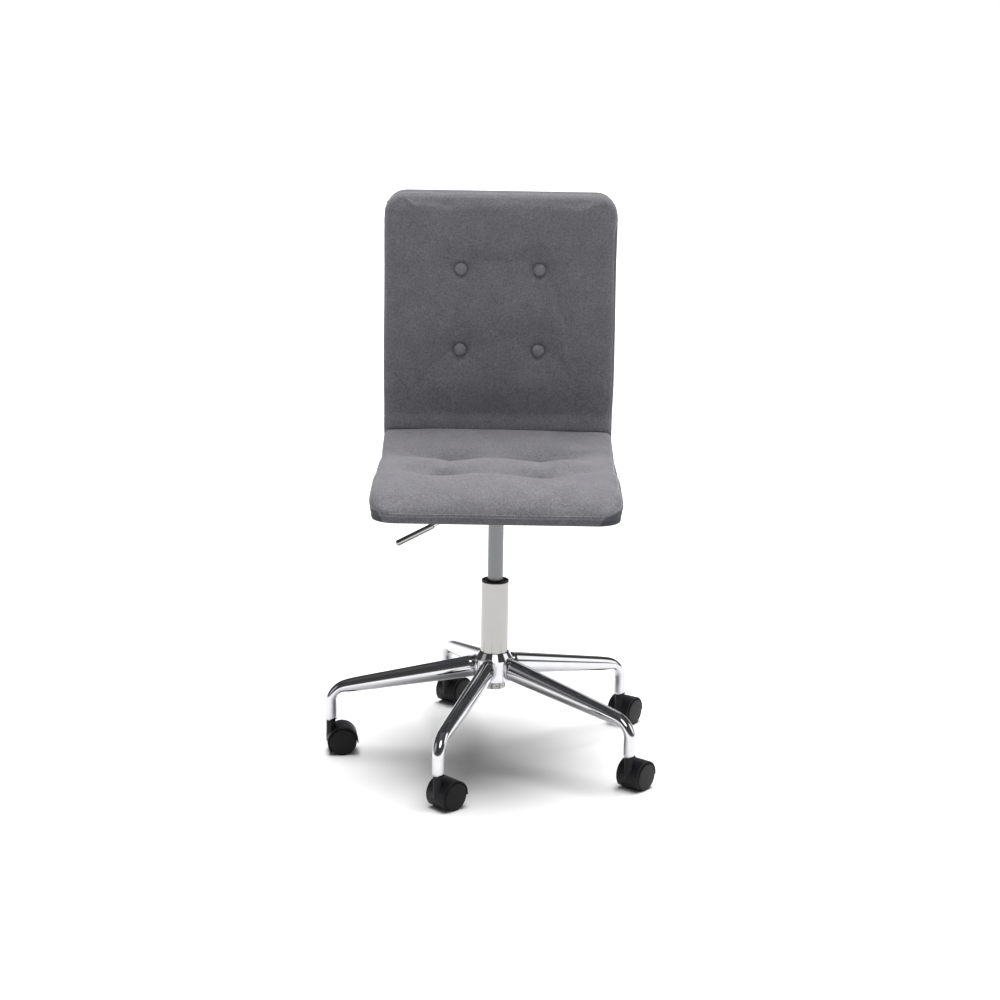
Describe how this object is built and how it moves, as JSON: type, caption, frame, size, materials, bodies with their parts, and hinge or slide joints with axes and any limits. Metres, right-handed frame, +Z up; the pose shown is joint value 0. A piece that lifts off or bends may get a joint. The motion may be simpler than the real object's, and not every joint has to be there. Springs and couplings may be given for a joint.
{
  "type": "swivel chair",
  "caption": "Armless swivel desk chair with a tufted L-shaped padded shell on a gas lift, chromed tube base and twin-wheel casters.",
  "frame": {"origin": "on the floor, on the axis of the column", "axes": "+Z up along the column, -Y is the way a sitter faces, +X to the sitter's left"},
  "size_m": [0.5991, 0.6406, 1.0083],
  "materials": {
    "chrome": "polished",
    "satin_chrome": "satin",
    "grey_steel": "satin",
    "zinc_steel": "satin",
    "black_steel": "satin powder coat",
    "aluminium_part": "machined",
    "brass_cage": "satin",
    "rubber": "matte",
    "black_nylon": "moulded, low sheen",
    "black_nylon_wheel": "moulded, low sheen",
    "plywood": "raw bent plywood",
    "dark_fabric": "woven",
    "grey_fabric": "felted melange weave",
    "twine": "waxed twine"
  },
  "bodies": {
    "base": {"base_hub": "chrome", "leg_1": "chrome", "leg_2": "chrome", "leg_3": "chrome", "leg_4": "chrome", "leg_5": "chrome", "stem_sleeves": "black_nylon", "caster_stems": "zinc_steel", "stem_grip_rings": "zinc_steel", "column_tube": "satin_chrome", "column_end_plate": "zinc_steel", "guide_bush": "black_nylon", "bearing_lower_washer": "zinc_steel", "bearing_balls": "zinc_steel", "bearing_cage": "brass_cage"},
    "swivel_core": {"piston_rod": "zinc_steel", "piston": "aluminium_part", "rod_clip": "zinc_steel", "bearing_upper_washer": "zinc_steel", "bump_stop": "rubber"},
    "seat": {"gas_cylinder": "grey_steel", "cylinder_gland": "aluminium_part", "valve_body": "aluminium_part", "seat_plate": "black_steel", "mechanism_housing": "black_steel", "lever_pivot_pin": "zinc_steel", "seat_bolts": "zinc_steel", "tee_nuts": "zinc_steel", "shell_board": "plywood", "rear_cover": "dark_fabric", "seat_cushion": "grey_fabric", "back_cushion": "grey_fabric", "seat_buttons": "grey_fabric", "seat_button_ties": "twine", "back_buttons": "grey_fabric", "back_button_ties": "twine"},
    "lever": {"lever_rod": "chrome", "lever_handle": "satin_chrome"},
    "valve": {"valve_pin": "zinc_steel"},
    "caster_1": {"caster_1_hood": "black_nylon", "caster_1_axle": "zinc_steel"},
    "caster_1_wheel_left": {"caster_1_wheel_left": "black_nylon_wheel"},
    "caster_1_wheel_right": {"caster_1_wheel_right": "black_nylon_wheel"},
    "caster_2": {"caster_2_hood": "black_nylon", "caster_2_axle": "zinc_steel"},
    "caster_2_wheel_left": {"caster_2_wheel_left": "black_nylon_wheel"},
    "caster_2_wheel_right": {"caster_2_wheel_right": "black_nylon_wheel"},
    "caster_3": {"caster_3_hood": "black_nylon", "caster_3_axle": "zinc_steel"},
    "caster_3_wheel_left": {"caster_3_wheel_left": "black_nylon_wheel"},
    "caster_3_wheel_right": {"caster_3_wheel_right": "black_nylon_wheel"},
    "caster_4": {"caster_4_hood": "black_nylon", "caster_4_axle": "zinc_steel"},
    "caster_4_wheel_left": {"caster_4_wheel_left": "black_nylon_wheel"},
    "caster_4_wheel_right": {"caster_4_wheel_right": "black_nylon_wheel"},
    "caster_5": {"caster_5_hood": "black_nylon", "caster_5_axle": "zinc_steel"},
    "caster_5_wheel_left": {"caster_5_wheel_left": "black_nylon_wheel"},
    "caster_5_wheel_right": {"caster_5_wheel_right": "black_nylon_wheel"}
  },
  "joints": [
    {"name": "seat_swivel", "type": "hinge", "parent": "base", "child": "swivel_core", "pos_m": [0, 0, 0.144], "axis": [0, 0, 1], "continuous": true},
    {"name": "gas_lift", "type": "slide", "parent": "swivel_core", "child": "seat", "axis": [0, 0, 1], "range_m": [-0.1, 0]},
    {"name": "release_lever", "type": "hinge", "parent": "seat", "child": "lever", "pos_m": [-0.05, 0, 0.4658], "axis": [0, 1, 0], "range_deg": [0, 4], "stiffness_Nm_per_rad": 2, "springref_deg": -2.86},
    {"name": "valve_push", "type": "slide", "parent": "seat", "child": "valve", "axis": [0, 0, -1], "range_m": [0, 0.0036]},
    {"name": "caster_1_swivel", "type": "hinge", "parent": "base", "child": "caster_1", "pos_m": [-0.298, 0, 0.05], "axis": [0, 0, 1], "continuous": true},
    {"name": "caster_1_roll_left", "type": "hinge", "parent": "caster_1", "child": "caster_1_wheel_left", "pos_m": [-0.2772, 0.00292, 0.025], "axis": [0.1392, -0.9903, 0], "continuous": true},
    {"name": "caster_1_roll_right", "type": "hinge", "parent": "caster_1", "child": "caster_1_wheel_right", "pos_m": [-0.2772, 0.00292, 0.025], "axis": [0.1392, -0.9903, 0], "continuous": true},
    {"name": "caster_2_swivel", "type": "hinge", "parent": "base", "child": "caster_2", "pos_m": [-0.09209, -0.28341, 0.05], "axis": [0, 0, 1], "continuous": true},
    {"name": "caster_2_roll_left", "type": "hinge", "parent": "caster_2", "child": "caster_2_wheel_left", "pos_m": [-0.07673, -0.26909, 0.025], "axis": [0.682, -0.7314, 0], "continuous": true},
    {"name": "caster_2_roll_right", "type": "hinge", "parent": "caster_2", "child": "caster_2_wheel_right", "pos_m": [-0.07673, -0.26909, 0.025], "axis": [0.682, -0.7314, 0], "continuous": true},
    {"name": "caster_3_swivel", "type": "hinge", "parent": "base", "child": "caster_3", "pos_m": [0.24109, -0.17516, 0.05], "axis": [0, 0, 1], "continuous": true},
    {"name": "caster_3_roll_left", "type": "hinge", "parent": "caster_3", "child": "caster_3_wheel_left", "pos_m": [0.25459, -0.15907, 0.025], "axis": [0.766, -0.6428, 0], "continuous": true},
    {"name": "caster_3_roll_right", "type": "hinge", "parent": "caster_3", "child": "caster_3_wheel_right", "pos_m": [0.25459, -0.15907, 0.025], "axis": [0.766, -0.6428, 0], "continuous": true},
    {"name": "caster_4_swivel", "type": "hinge", "parent": "base", "child": "caster_4", "pos_m": [0.24109, 0.17516, 0.05], "axis": [0, 0, 1], "continuous": true},
    {"name": "caster_4_roll_left", "type": "hinge", "parent": "caster_4", "child": "caster_4_wheel_left", "pos_m": [0.25313, 0.19236, 0.025], "axis": [0.8192, -0.5736, 0], "continuous": true},
    {"name": "caster_4_roll_right", "type": "hinge", "parent": "caster_4", "child": "caster_4_wheel_right", "pos_m": [0.25313, 0.19236, 0.025], "axis": [0.8192, -0.5736, 0], "continuous": true},
    {"name": "caster_5_swivel", "type": "hinge", "parent": "base", "child": "caster_5", "pos_m": [-0.09209, 0.28341, 0.05], "axis": [0, 0, 1], "continuous": true},
    {"name": "caster_5_roll_left", "type": "hinge", "parent": "caster_5", "child": "caster_5_wheel_left", "pos_m": [-0.07859, 0.2995, 0.025], "axis": [0.766, -0.6428, 0], "continuous": true},
    {"name": "caster_5_roll_right", "type": "hinge", "parent": "caster_5", "child": "caster_5_wheel_right", "pos_m": [-0.07859, 0.2995, 0.025], "axis": [0.766, -0.6428, 0], "continuous": true}
  ],
  "couplings": [
    {"joint": "valve_push", "follows": "release_lever", "m_per_rad": 0.05}
  ]
}
